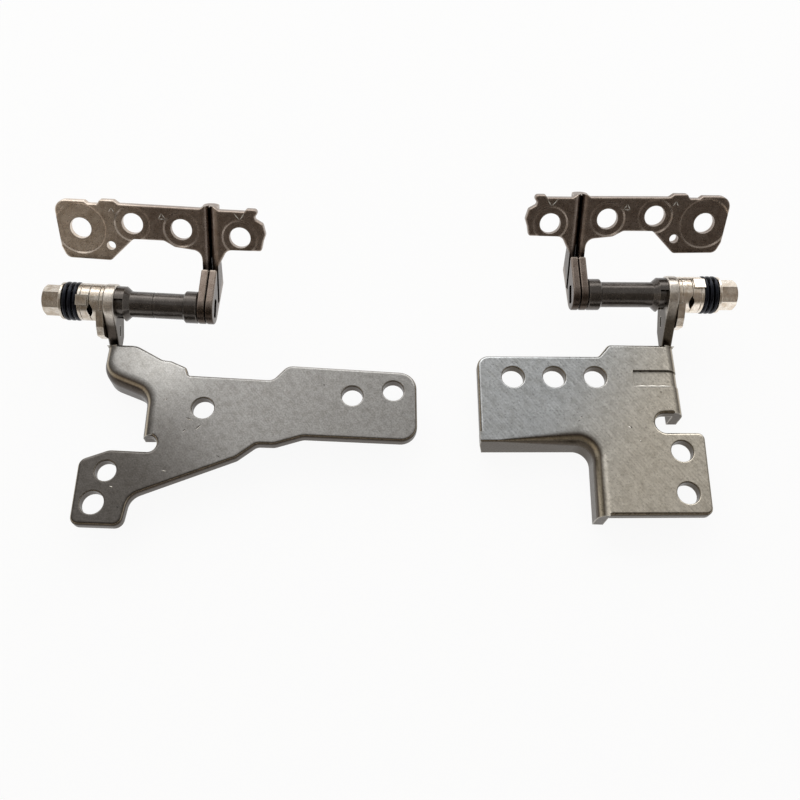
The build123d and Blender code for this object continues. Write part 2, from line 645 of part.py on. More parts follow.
def display_bracket(hinge):
    """One folded sheet: a plate with screw holes, pleated at a seam into the doubled ear on the shaft."""
    side = hinge.side
    plate = [
        (-7.75, 12.95, 1.5),
        (-3.7, 12.95, 0.3),
        (-3.3, 12.6, 0.25),
        (-2.0, 12.6, 0.25),
        (-1.6, 13.2, 0.35),
        (0.2, 13.2, 0.35),
        (0.8, 12.75, 0.35),
        (11.5, 12.7, 0.3),
        (12.1, 13.05, 0.3),
        (13.4, 13.05, 0.3),
        (14.0, 12.6, 0.3),
        (17.45, 12.6, 0.15),
        (17.75, 12.95, 0.27),
        (19.75, 12.95, 0.45),
        (18.6, 11.75, 0.4),
        (19.9, 11.0, 0.5),
        (20.25, 9.6, 0.5),
        (19.9, 8.6, 0.4),
        (19.65, 7.35, 0.3),
        (15.0, 7.25, 1.2),
        (DISPLAY_EAR_OUTER, NECK_RISE, 0),
        (DISPLAY_EAR_INNER, NECK_RISE, 0),
        (11.5, 6.9, 1.2),
        (8.0, 7.3, 0.8),
        (6.6, 8.1, 0.8),
        (2.5, 8.1, 0.6),
        (-0.7, 5.0, 0.6),
        (-6.6, 5.1, 1.0),
        (-7.25, 6.6, 0.6),
    ]
    holes = [(-4.45, 9.25), (2.5, 10.2), (9.0, 9.75), (16.8, 9.05)]
    locating_hole = (-0.5, 7.1)
    bend = DISPLAY_BEND_RADIUS
    fold = bend * (1 - cos(radians(45)))
    face = hinge.lid(DISPLAY_FACE)
    layers = [display_ear_layer(hinge, station) for station in (DISPLAY_EAR_INNER, SEAM_OUTER)]
    with BuildPart() as bracket:
        with BuildSketch(face):
            outline_face(hinge, plate)
        extrude(amount=-DISPLAY_SHEET)
        front = bracket.faces().sort_by(Axis(face.origin, face.z_dir))[-1]
        fillet(front.outer_wire().edges(), radius=DISPLAY_EDGE_ROLL)
        # Pleat behind the plate, with its round fold at the back.
        with BuildSketch(hinge.lid_across(DISPLAY_EAR_INNER)):
            with BuildLine():
                Polyline(
                    (PLEAT_FOOT, NECK_FACE),
                    (PLEAT_TOP, NECK_FACE),
                    (PLEAT_TOP, PLEAT_BACK),
                    (PLEAT_FOOT, PLEAT_BACK),
                    close=True,
                )
            make_face()
        extrude(amount=side * 2 * HALF_FOLD)
        fold_edges = bracket.edges().filter_by(Axis(hinge.frame.origin, hinge.display.y_dir)).filter_by(
            lambda edge: abs(hinge.display.to_local_coords(edge @ 0.5).Z - PLEAT_BACK) < SEAT_CLEARANCE)
        fillet(fold_edges, radius=HALF_FOLD - SEAT_CLEARANCE)
        for layer in layers:
            add(layer)
        # Groove on the face, where both halves of the plate turn back, and the seam between the layers.
        with BuildSketch(Plane(origin=face.origin, x_dir=side * face.x_dir, z_dir=-side * face.y_dir)):
            with BuildLine():
                Polyline((SEAM_INNER - bend, 0), (SEAM_INNER - bend, CUT_MARGIN), (SEAM_OUTER + bend, CUT_MARGIN),
                         (SEAM_OUTER + bend, 0))
                ThreePointArc((SEAM_OUTER + bend, 0), (SEAM_OUTER + fold, -fold), (SEAM_OUTER, -bend))
                Line((SEAM_OUTER, -bend), (SEAM_INNER, -bend))
                ThreePointArc((SEAM_INNER, -bend), (SEAM_INNER - fold, -fold), (SEAM_INNER - bend, 0))
            make_face()
        extrude(amount=-side * 2 * PLEAT_TOP, mode=Mode.SUBTRACT)
        with BuildSketch(hinge.lid_across(SEAM_INNER)):
            with BuildLine():
                Polyline(
                    (PLEAT_TOP + CUT_MARGIN, CUT_MARGIN),
                    (PLEAT_TOP + CUT_MARGIN, PLEAT_BACK + HALF_FOLD),
                    (PLEAT_FOOT, PLEAT_BACK + HALF_FOLD),
                    (PLEAT_FOOT, PLEAT_BACK - CUT_MARGIN),
                    (-DISPLAY_EAR_RADIUS - CUT_MARGIN, PLEAT_BACK - CUT_MARGIN),
                    (-DISPLAY_EAR_RADIUS - CUT_MARGIN, DISPLAY_EAR_RADIUS + CUT_MARGIN),
                    close=True,
                )
            make_face()
        extrude(amount=side * EAR_SEAM_GAP, mode=Mode.SUBTRACT)
        # Coined seats round the screw holes, then the holes.
        with BuildSketch(face):
            for index, (station, height) in enumerate(holes):
                with Locations((side * station, height)):
                    Circle(COIN_RADIUS if index else COIN_RADIUS_LARGE)
        extrude(amount=-COIN_DEPTH, taper=COIN_WALL_SLOPE, mode=Mode.SUBTRACT)
        with BuildSketch(face):
            with Locations(*[(side * station, height) for station, height in holes]):
                Circle(DISPLAY_HOLE_RADIUS)
            with Locations((side * locating_hole[0], locating_hole[1])):
                Circle(LOCATING_HOLE_RADIUS)
        extrude(amount=-DISPLAY_SHEET, mode=Mode.SUBTRACT)
        with BuildSketch(hinge.across(DISPLAY_EAR_INNER)):
            add(double_d(TENON_RADIUS + SEAT_CLEARANCE, TENON_FLATS + 2 * SEAT_CLEARANCE))
        extrude(amount=side * 2 * HALF_FOLD, mode=Mode.SUBTRACT)
    hinge.save(bracket, "display_bracket")


def keyed_disc(hinge, outer_station, thickness):
    """Disc with the keyed bore that makes it turn with the shaft, in the part that is open."""
    with BuildSketch(hinge.across(outer_station)) as disc:
        Circle(STACK_RADIUS)
        add(double_d(THREAD_RADIUS + SHAFT_CLEARANCE, KEY_FLATS + 2 * SHAFT_CLEARANCE), mode=Mode.SUBTRACT)
    extrude(disc.sketch, amount=hinge.side * thickness)


def cut_tab_seat(hinge, outer_station, thickness):
    """Flat on a disc under the bent tab, in the part that is open."""
    with BuildSketch(hinge.across(outer_station)) as seat:
        with Locations(Location(polar(TAB_SEAT_RADIUS + TAB_THICKNESS / 2, hinge.tab_angle), hinge.tab_angle)):
            Rectangle(TAB_THICKNESS, TAB_WIDTH + 2 * SEAT_CLEARANCE)
    extrude(seat.sketch, amount=hinge.side * thickness, mode=Mode.SUBTRACT)


def moving_cam(hinge):
    """Cam disc that turns with the shaft; its valleys face those of the fixed cam."""
    with BuildPart() as cam:
        keyed_disc(hinge, TAB_WASHER_INNER, MOVING_CAM_THICKNESS)
        round_rims(cam)
        cam_valleys(hinge, MOVING_CAM_INNER, -MOVING_CAM_VALLEY)
        cut_tab_seat(hinge, TAB_WASHER_INNER, TAB_REACH)
    hinge.save(cam, "moving_cam")


def tab_washer(hinge):
    """Washer with one square tab bent over the rim of the moving cam."""
    with BuildPart() as washer:
        keyed_disc(hinge, SPRINGS_INNER, TAB_WASHER_THICKNESS)
        round_rims(washer)
        with BuildSketch(hinge.across(SPRINGS_INNER)):
            tab_middle = TAB_SEAT_RADIUS + SEAT_CLEARANCE + TAB_THICKNESS / 2
            with Locations(Location(polar(tab_middle, hinge.tab_angle), hinge.tab_angle)):
                Rectangle(TAB_THICKNESS, TAB_WIDTH)
        extrude(amount=hinge.side * (TAB_WASHER_THICKNESS + TAB_REACH - SEAT_CLEARANCE))
    hinge.save(washer, "tab_washer")


def disc_springs(hinge):
    """Dished spring washers between the tab washer and the flat washer."""
    side = hinge.side
    for index in range(SPRING_COUNT):
        start = SPRINGS_INNER - index * SPRING_PITCH
        section = [
            (start - SPRING_DISH, SPRING_BORE),
            (start, SPRING_RADIUS),
            (start - SPRING_PITCH + SPRING_DISH, SPRING_RADIUS),
            (start - SPRING_PITCH, SPRING_BORE),
        ]
        with BuildPart() as spring:
            with BuildSketch(hinge.plan(0)):
                with BuildLine():
                    FilletPolyline(*[(side * station, radius) for station, radius in section],
                                   radius=[0, SPRING_ROUND, SPRING_ROUND, 0], close=True)
                make_face()
            revolve(axis=hinge.axis)
        hinge.save(spring, f"disc_spring_{index + 1}")


def flat_washer(hinge):
    """Plain washer under the nut."""
    with BuildPart() as washer:
        with BuildSketch(hinge.across(NUT_INNER)):
            Circle(STACK_RADIUS)
            Circle(THREAD_RADIUS + SHAFT_CLEARANCE, mode=Mode.SUBTRACT)
        extrude(amount=hinge.side * FLAT_WASHER_THICKNESS)
        round_rims(washer)
    hinge.save(washer, "flat_washer")


def hex_nut(hinge):
    """Hexagon nut with both ends chamfered round."""
    side = hinge.side
    half = NUT_ACROSS_FLATS / 2
    crown = half / cos(radians(30))
    slope = (crown - half) * NUT_CHAMFER_SLOPE
    with BuildPart() as nut:
        with BuildSketch(hinge.across(NUT_OUTER)):
            RegularPolygon(half, 6, major_radius=False, rotation=NUT_ANGLE)
        extrude(amount=side * NUT_THICKNESS)
        with BuildSketch(hinge.plan(0)):
            with BuildLine():
                Polyline(
                    (side * NUT_OUTER, 0),
                    (side * NUT_OUTER, half),
                    (side * (NUT_OUTER + slope), crown),
                    (side * (NUT_INNER - slope), crown),
                    (side * NUT_INNER, half),
                    (side * NUT_INNER, 0),
                    close=True,
                )
            make_face()
        revolve(axis=hinge.axis, mode=Mode.INTERSECT)
        with BuildSketch(hinge.across(NUT_OUTER)):
            Circle(THREAD_RADIUS + SEAT_CLEARANCE)
        extrude(amount=side * NUT_THICKNESS, mode=Mode.SUBTRACT)
    hinge.save(nut, "hex_nut")


def main():
    """Build every piece of both hinges."""
    os.makedirs("parts", exist_ok=True)
    left = Hinge("left", 1, LEFT_EAR_X, LEFT_EAR_Y, LEFT_YAW, LEFT_TAB_ANGLE)
    right = Hinge("right", -1, RIGHT_EAR_X, RIGHT_EAR_Y, RIGHT_YAW, RIGHT_TAB_ANGLE)
    left_base_bracket(left)
    right_base_bracket(right)
    for hinge in (left, right):
        fixed_cam(hinge)
        friction_washer(hinge)
        shaft(hinge, grooved=hinge is left)
        display_bracket(hinge)
        moving_cam(hinge)
        tab_washer(hinge)
        disc_springs(hinge)
        flat_washer(hinge)
        hex_nut(hinge)


main()
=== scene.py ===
"""Looks of a laptop hinge pair: plated steel brackets, black shafts, spring stacks, studio and camera."""

import json
import logging
from collections.abc import Callable
from dataclasses import dataclass, field, replace
from enum import Enum
from math import cos, pi, radians, sin

import bmesh
import bpy
from mathutils import Matrix, Vector


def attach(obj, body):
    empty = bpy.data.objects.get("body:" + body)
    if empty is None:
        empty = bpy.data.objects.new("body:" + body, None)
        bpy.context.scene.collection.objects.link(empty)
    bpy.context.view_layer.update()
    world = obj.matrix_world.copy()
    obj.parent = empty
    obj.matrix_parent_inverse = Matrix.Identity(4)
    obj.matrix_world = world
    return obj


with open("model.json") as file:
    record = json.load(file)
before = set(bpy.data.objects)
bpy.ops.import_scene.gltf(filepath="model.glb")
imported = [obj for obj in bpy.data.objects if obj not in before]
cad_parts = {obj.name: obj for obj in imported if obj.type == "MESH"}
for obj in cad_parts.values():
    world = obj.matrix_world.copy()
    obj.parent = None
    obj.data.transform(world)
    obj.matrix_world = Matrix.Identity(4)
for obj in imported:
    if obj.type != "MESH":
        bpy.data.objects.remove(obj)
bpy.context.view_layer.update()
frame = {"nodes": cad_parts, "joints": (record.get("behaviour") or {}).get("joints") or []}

MM = 0.001
PHOTO_PIXELS = 800
LOG = logging.getLogger("hinges")
# Noise seldom leaves this span, so it is stretched from here to the full range.
NOISE_SPAN = (0.3, 0.7)
# Part of the patch noise over which one patch turns into the next.
PATCH_SPAN = (0.42, 0.68)
# How far the roughness swings with the grain.
ROUGHNESS_SWING = 0.05
# Length of a roll line for a width of one.
LINE_LENGTH = 12.0
# Agreement of a face with its rounded self, from flat to right over an edge.
EDGE_TURN = (0.985, 0.86)
# Open sky over a place, from clean to full of dirt and painted shade.
SKY_SHARE = (0.75, 0.25)


class Side(Enum):
    """Which hinge, and which way its stations run along X."""

    LEFT = 1
    RIGHT = -1


class Slot(Enum):
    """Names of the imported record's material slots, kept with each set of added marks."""

    BASE = "base_plate"
    DISPLAY = "display_plate"


def linear(hex_colour: str) -> tuple[float, float, float, float]:
    """Turn an sRGB hex colour into linear values.

    Args:
        hex_colour: Six hex digits after a number sign.

    Returns:
        Red, green, blue and an alpha of one.
    """
    parts = [int(hex_colour[start:start + 2], 16) / 255 for start in (1, 3, 5)]
    red, green, blue = [p / 12.92 if p <= 0.04045 else ((p + 0.055) / 1.055) ** 2.4 for p in parts]
    return red, green, blue, 1.0


def add(
    tree: bpy.types.NodeTree, kind: str, inputs: dict | None = None, **settings: object,
) -> bpy.types.Node:
    """Add one node, with its settings, and with each input set to a value or linked from a socket.

    Args:
        tree: Node tree that the node joins.
        kind: Blender's name for the node type.
        inputs: Values or output sockets, by input name or number.
        settings: Attributes of the node itself.

    Returns:
        The new node.
    """
    made = tree.nodes.new(kind)
    for name, value in settings.items():
        setattr(made, name, value)
    for key, value in (inputs or {}).items():
        if isinstance(value, bpy.types.NodeSocket):
            tree.links.new(value, made.inputs[key])
        else:
            made.inputs[key].default_value = value
    return made


@dataclass(frozen=True)
class Drift:
    """A slow change of colour across a piece, from one place to another."""

    start_mm: tuple[float, float, float]
    end_mm: tuple[float, float, float]
    colour: str


@dataclass(frozen=True)
class SteelFinish:
    """A worked steel surface: its colour, its grain, its worn edges, the dirt in its corners, and painted
    light: shade in corners and on walls, highlights on bends and edges.
    """

    name: str
    colour: str
    patch_colour: str
    edge_colour: str
    dirt_and_shade_colour: str
    roughness: float
    metallic: float = 1.0
    # Tumbled grit and roll lines are a few hundredths of a millimetre wide.
    # That is too fine to show, so they are drawn coarser.
    grain_mm: float = 0.2
    grain_depth_mm: float = 0.01
    speckle: float = 0.12
    patch_mm: float = 4.0
    brush_mm: float = 0.0
    brush_angle: float = 0.0
    brush_contrast: float = 0.0
    # Painted shade on walls and a painted highlight on bends, set by which way the surface faces. The lean
    # of wall_face to the back keeps back rims bright longer and darkens front rims sooner.
    painted_wall_shade_colour: str = ""
    wall_face: tuple[float, float, float] = (0.0, 0.2, 0.98)
    wall_range: tuple[float, float] = (0.95, 0.78)
    wall_end_mm: tuple[float, float] = (5.8, 7.6)
    painted_highlight_colour: str = "#b3a793"
    painted_highlight_middle: float = 0.66
    painted_highlight_reach: float = 0.16
    edge_mm: float = 0.25
    edge_low_mm: tuple[float, float] = (-1.0, 0.0)
    edge_polish: float = 0.1
    dirt_and_shade_mm: float = 0.6
    dirt_and_shade_share: float = 0.7
    drifts: tuple[Drift, ...] = ()

    def material(self) -> bpy.types.Material:
        """Build the node material, or find it where it is built already.

        Returns:
            The finished material, named for the finish.
        """
        made = bpy.data.materials.get(self.name)
        if made:
            return made
        made = bpy.data.materials.new(self.name)
        made.use_nodes = True
        tree = made.node_tree
        tree.nodes.clear()
        place = add(tree, "ShaderNodeTexCoord").outputs
        grain = add(tree, "ShaderNodeTexNoise", {
            "Vector": place["Object"], "Scale": 1 / (self.grain_mm * MM), "Detail": 2.0, "Roughness": 0.65,
        }).outputs["Fac"]
        edge = self.edge_share(tree, place)
        colour = self.sheet_colour(tree, place, grain)
        colour = add(tree, "ShaderNodeMixRGB", {
            "Fac": edge, "Color1": colour, "Color2": linear(self.edge_colour),
        }).outputs["Color"]
        # Dirt and painted shade darken the corners.
        colour = add(tree, "ShaderNodeMixRGB", {
            "Fac": self.dirt_and_painted_shade(tree), "Color1": colour, "Color2": linear(self.dirt_and_shade_colour),
        }).outputs["Color"]
        rough = add(tree, "ShaderNodeMapRange", {
            "Value": grain, "From Min": NOISE_SPAN[0], "From Max": NOISE_SPAN[1],
            "To Min": self.roughness - ROUGHNESS_SWING, "To Max": self.roughness + ROUGHNESS_SWING,
        }).outputs["Result"]
        rough = add(tree, "ShaderNodeMath", {0: edge, 1: -self.edge_polish, 2: rough},
                    operation="MULTIPLY_ADD").outputs["Value"]
        bump = add(tree, "ShaderNodeBump", {"Distance": self.grain_depth_mm * MM, "Height": grain})
        shader = add(tree, "ShaderNodeBsdfPrincipled", {
            "Base Color": colour, "Metallic": self.metallic, "Roughness": rough,
            "Normal": bump.outputs["Normal"],
        })
        add(tree, "ShaderNodeOutputMaterial", {"Surface": shader.outputs["BSDF"]})
        return made

    def sheet_colour(
        self, tree: bpy.types.NodeTree, place: bpy.types.bpy_prop_collection, grain: bpy.types.NodeSocket,
    ) -> bpy.types.NodeSocket:
        """Colour of the surface away from edges and dirt.

        Args:
            tree: Node tree of the material.
            place: Outputs with the place and the direction of the surface.
            grain: Socket with the fine grain.

        Returns:
            The socket with the colour.
        """
        patches = add(tree, "ShaderNodeTexNoise", {
            "Vector": place["Object"], "Scale": 1 / (self.patch_mm * MM), "Detail": 3.0, "Roughness": 0.6,
        })
        share = add(tree, "ShaderNodeMapRange", {
            "Value": patches.outputs["Fac"], "From Min": PATCH_SPAN[0], "From Max": PATCH_SPAN[1],
        })
        colour = add(tree, "ShaderNodeMixRGB", {
            "Fac": share.outputs["Result"], "Color1": self.drifted(tree, place),
            "Color2": linear(self.patch_colour),
        }, blend_type="MULTIPLY").outputs["Color"]
        # Painted shade on the walls and a painted highlight where they turn.
        if self.painted_wall_shade_colour:
            colour = self.painted_wall_shade_and_highlight(tree, place, colour)
        fine = add(tree, "ShaderNodeMapRange", {
            "Value": grain, "From Min": NOISE_SPAN[0], "From Max": NOISE_SPAN[1],
            "To Min": 1 - self.speckle, "To Max": 1 + self.speckle,
        }).outputs["Result"]
        if self.brush_mm:
            fine = add(tree, "ShaderNodeMath", {0: fine, 1: self.roll_lines(tree, place)},
                       operation="MULTIPLY").outputs["Value"]
        speckled = add(tree, "ShaderNodeVectorMath", {0: colour, 1: fine}, operation="MULTIPLY")
        return speckled.outputs["Vector"]

    def drifted(
        self, tree: bpy.types.NodeTree, place: bpy.types.bpy_prop_collection,
    ) -> bpy.types.NodeSocket | tuple[float, float, float, float]:
        """Plain colour with its slow changes across the piece.

        Args:
            tree: Node tree of the material.
            place: Outputs with the place and the direction of the surface.

        Returns:
            The socket with the colour, or the colour itself where nothing changes it.
        """
        colour = linear(self.colour)
        for drift in self.drifts:
            start = Vector(drift.start_mm) * MM
            run = Vector(drift.end_mm) * MM - start
            offset = add(tree, "ShaderNodeVectorMath", {0: place["Object"], 1: start}, operation="SUBTRACT")
            along = add(tree, "ShaderNodeVectorMath", {
                0: offset.outputs["Vector"], 1: run / run.length_squared,
            }, operation="DOT_PRODUCT")
            reach = add(tree, "ShaderNodeMapRange", {"Value": along.outputs["Value"]},
                        interpolation_type="SMOOTHSTEP")
            colour = add(tree, "ShaderNodeMixRGB", {
                "Fac": reach.outputs["Result"], "Color1": colour, "Color2": linear(drift.colour),
            }).outputs["Color"]
        return colour

    def painted_wall_shade_and_highlight(
        self, tree: bpy.types.NodeTree, place: bpy.types.bpy_prop_collection, colour: bpy.types.NodeSocket,
    ) -> bpy.types.NodeSocket:
        """Paint shade on the walls, set by which way the surface faces, with a painted highlight where they
        start to turn.

        Args:
            tree: Node tree of the material.
            place: Outputs with the place and the direction of the surface.
            colour: Socket with the colour of the flat sheet.

        Returns:
            The socket with the colour of sheet and walls.
        """
        facing = add(tree, "ShaderNodeVectorMath", {0: place["Normal"], 1: self.wall_face},
                     operation="DOT_PRODUCT").outputs["Value"]
        height = add(tree, "ShaderNodeSeparateXYZ", {0: place["Object"]})
        low = add(tree, "ShaderNodeMapRange", {
            "Value": height.outputs["Z"], "From Min": self.wall_end_mm[1] * MM,
            "From Max": self.wall_end_mm[0] * MM,
        }).outputs["Result"]
        wall_shade_share = add(tree, "ShaderNodeMapRange", {
            "Value": facing, "From Min": self.wall_range[0], "From Max": self.wall_range[1],
        })
        off = add(tree, "ShaderNodeMath", {0: facing, 1: self.painted_highlight_middle}, operation="SUBTRACT")
        off = add(tree, "ShaderNodeMath", {0: off.outputs["Value"]}, operation="ABSOLUTE")
        highlight_share = add(tree, "ShaderNodeMapRange", {
            "Value": off.outputs["Value"], "From Min": self.painted_highlight_reach, "From Max": 0.0,
        }, interpolation_type="SMOOTHSTEP")
        for share, shade in ((wall_shade_share, self.painted_wall_shade_colour), (highlight_share, self.painted_highlight_colour)):
            share = add(tree, "ShaderNodeMath", {0: share.outputs["Result"], 1: low}, operation="MULTIPLY")
            colour = add(tree, "ShaderNodeMixRGB", {
                "Fac": share.outputs["Value"], "Color1": colour, "Color2": linear(shade),
            }).outputs["Color"]
        return colour

    def roll_lines(
        self, tree: bpy.types.NodeTree, place: bpy.types.bpy_prop_collection,
    ) -> bpy.types.NodeSocket:
        """Fine lines left by the rollers.

        Args:
            tree: Node tree of the material.
            place: Outputs with the place and the direction of the surface.

        Returns:
            The socket with the factor on the colour.
        """
        turned = add(tree, "ShaderNodeMapping", {
            "Vector": place["Object"], "Rotation": (0.0, 0.0, radians(self.brush_angle)),
            "Scale": (1.0, LINE_LENGTH, 1.0),
        }, vector_type="TEXTURE")
        lines = add(tree, "ShaderNodeTexNoise", {
            "Vector": turned.outputs["Vector"], "Scale": 1 / (self.brush_mm * MM), "Detail": 1.0,
        })
        return add(tree, "ShaderNodeMapRange", {
            "Value": lines.outputs["Fac"], "From Min": NOISE_SPAN[0], "From Max": NOISE_SPAN[1],
            "To Min": 1 - self.brush_contrast, "To Max": 1 + self.brush_contrast,
        }).outputs["Result"]

    def edge_share(
        self, tree: bpy.types.NodeTree, place: bpy.types.bpy_prop_collection,
    ) -> bpy.types.NodeSocket:
        """Where the surface turns over an edge and is rubbed bright; where it is kept to the top edge of
        the display plates, it is a painted highlight.

        Args:
            tree: Node tree of the material.
            place: Outputs with the place and the direction of the surface.

        Returns:
            The socket with the share, one on an edge.
        """
        surface = add(tree, "ShaderNodeNewGeometry")
        rounded = add(tree, "ShaderNodeBevel", {"Radius": self.edge_mm * MM}, samples=4)
        facing = add(tree, "ShaderNodeVectorMath", {
            0: surface.outputs["Normal"], 1: rounded.outputs["Normal"],
        }, operation="DOT_PRODUCT")
        share = add(tree, "ShaderNodeMapRange", {
            "Value": facing.outputs["Value"], "From Min": EDGE_TURN[0], "From Max": EDGE_TURN[1],
        })
        height = add(tree, "ShaderNodeSeparateXYZ", {0: place["Object"]})
        high = add(tree, "ShaderNodeMapRange", {
            "Value": height.outputs["Z"], "From Min": self.edge_low_mm[0] * MM,
            "From Max": self.edge_low_mm[1] * MM,
        })
        rubbed_and_sheen = add(tree, "ShaderNodeMath", {0: share.outputs["Result"], 1: high.outputs["Result"]},
                   operation="MULTIPLY")
        return rubbed_and_sheen.outputs["Value"]

    def dirt_and_painted_shade(self, tree: bpy.types.NodeTree) -> bpy.types.NodeSocket:
        """Where grease and dust stay in corners and gaps, with painted shade there: darker where the
        surroundings close in.

        Args:
            tree: Node tree of the material.

        Returns:
            The socket with the share of dirt and painted shade.
        """
        # Ambient occlusion darkens corners, gaps and places near the floor: grease and dust, and painted
        # shade.
        corner = add(tree, "ShaderNodeAmbientOcclusion", {"Distance": self.dirt_and_shade_mm * MM}, samples=6)
        share = add(tree, "ShaderNodeMapRange", {
            "Value": corner.outputs["AO"], "From Min": SKY_SHARE[0], "From Max": SKY_SHARE[1],
            "To Max": self.dirt_and_shade_share,
        })
        return share.outputs["Result"]


# Cold-rolled steel with tumbled nickel plating: a grey satin with fine speckle, with painted shade on its
# walls.
LEFT_BASE_STEEL = SteelFinish(
    name="tumbled_nickel_on_cold_rolled_steel", colour="#a09e9b",
    patch_colour="#ebeae8", edge_colour="#b4b0a8",
    dirt_and_shade_colour="#2f2a25", roughness=0.33, grain_mm=0.22, patch_mm=0.8, speckle=0.2,
    brush_mm=0.2, brush_angle=37.0, brush_contrast=0.07, painted_wall_shade_colour="#4f4842",
    drifts=(
        # Painted highlights to the upper left and along the back edge, and a painted dark reflection over
        # the leg.
        Drift((-25.0, -6.0, 0.0), (-33.0, 1.0, 0.0), "#dbd9d5"),
        Drift((-21.0, -5.0, 0.0), (-35.0, -16.0, 0.0), "#5f5b57"),
        Drift((0.0, 3.0, 0.0), (0.0, 5.5, 0.0), "#dcd4ca"),
    ),
)
# The same sheet with its rolling lines still showing: cool grey, warmer towards the leg, with painted shade
# on its walls and a painted highlight on its bends.
RIGHT_BASE_STEEL = SteelFinish(
    name="nickel_on_roll_lined_steel", colour="#b9bbbc", patch_colour="#eae9e7", edge_colour="#bab4a9",
    dirt_and_shade_colour="#2f2a25", roughness=0.31, grain_mm=0.3, patch_mm=1.0, speckle=0.12,
    brush_mm=0.22, brush_angle=37.0, brush_contrast=0.12, painted_wall_shade_colour="#4c443b",
    painted_highlight_colour="#b4a893", painted_highlight_middle=0.6, painted_highlight_reach=0.22,
    drifts=(
        Drift((22.0, -2.0, 0.0), (36.0, -10.0, 0.0), "#d0c8ba"),
        # Painted highlight along the back edge.
        Drift((0.0, 3.0, 0.0), (0.0, 5.5, 0.0), "#dcd4ca"),
    ),
)
# Nickel gone dull on the folded sheet: a brownish taupe satin, with a painted highlight at the outer end
# and along the top edge, and painted shade on the ear.
LEFT_DISPLAY_STEEL = SteelFinish(
    name="dull_nickel_on_folded_steel", colour="#9b8d83", patch_colour="#e2ddd8", edge_colour="#cabdb0",
    dirt_and_shade_colour="#1d1815", roughness=0.3, grain_mm=0.18, patch_mm=1.0, speckle=0.12, edge_mm=0.35,
    # The edge band is kept to the top edge, where it is a painted highlight.
    edge_low_mm=(8.2, 9.0),
    drifts=(
        # Painted highlight towards the outer end.
        Drift((-31.0, 0.0, 0.0), (-42.0, 0.0, 0.0), "#e0d2c3"),
        # Painted shade over the ear, paler again at its foot.
        Drift((0.0, 0.0, 9.2), (0.0, 0.0, 8.0), "#564c45"),
        Drift((0.0, 0.0, 5.4), (0.0, 0.0, 4.4), "#8d8075"),
    ),
)
# The same nickel in a darker taupe all over, without the paler outer end, keeping the painted shade on the
# ear.
RIGHT_DISPLAY_STEEL = replace(
    LEFT_DISPLAY_STEEL, name="darker_nickel_on_folded_steel", colour="#8f8279",
    drifts=LEFT_DISPLAY_STEEL.drifts[1:],
)
# Bright nickel on turned and stamped rings: near white in the light, beige below, and painted paler on the
# right-hand hinge.
BRIGHT_NICKEL = SteelFinish(
    name="bright_nickel_on_stamped_steel", colour="#cfc6ba", patch_colour="#ddd5cb", edge_colour="#e6e0d6",
    dirt_and_shade_colour="#1f1a16", roughness=0.22, grain_mm=0.2, patch_mm=0.8, speckle=0.2, grain_depth_mm=0.012,
    # Painted light: paler towards the right-hand hinge.
    drifts=(Drift((28.0, 0.0, 0.0), (42.0, 0.0, 0.0), "#fbf0e2"),),
)
# Black oxide kept under oil: near black with a long soft shine.
BLACK_OXIDE = SteelFinish(
    name="oiled_black_oxide_on_turned_steel", colour="#5f5a56",
    patch_colour="#e0dedc", edge_colour="#746e68",
    dirt_and_shade_colour="#0c0b0a", metallic=0.9, roughness=0.24, grain_mm=0.25, patch_mm=1.6, grain_depth_mm=0.004,
    speckle=0.06,
)
# Hardened spring steel with a phosphate coat: blue black and smooth.
SPRING_BLACK = SteelFinish(
    name="phosphated_spring_steel", colour="#1a1c24", patch_colour="#d0d0d4", edge_colour="#2c303c",
    dirt_and_shade_colour="#060607", metallic=0.7, roughness=0.3, grain_mm=0.15, patch_mm=1.5, grain_depth_mm=0.005,
)
# Fresh steel in a burr or a pressed line: brighter than the plating round it.
BARE_STEEL = SteelFinish(
    name="bare_steel_burr", colour="#b7b2aa", patch_colour="#e8e6e2", edge_colour="#c2beb6",
    dirt_and_shade_colour="#5a544c", roughness=0.3, dirt_and_shade_share=0.2,
)
# Grease and dust held in a scratch: a flat dark brown.
SCRATCH_DIRT = SteelFinish(
    name="grease_in_a_scratch", colour="#3a342f", patch_colour="#d8d4d0", edge_colour="#3a342f",
    dirt_and_shade_colour="#1f1a16", metallic=0.2, roughness=0.6,
)


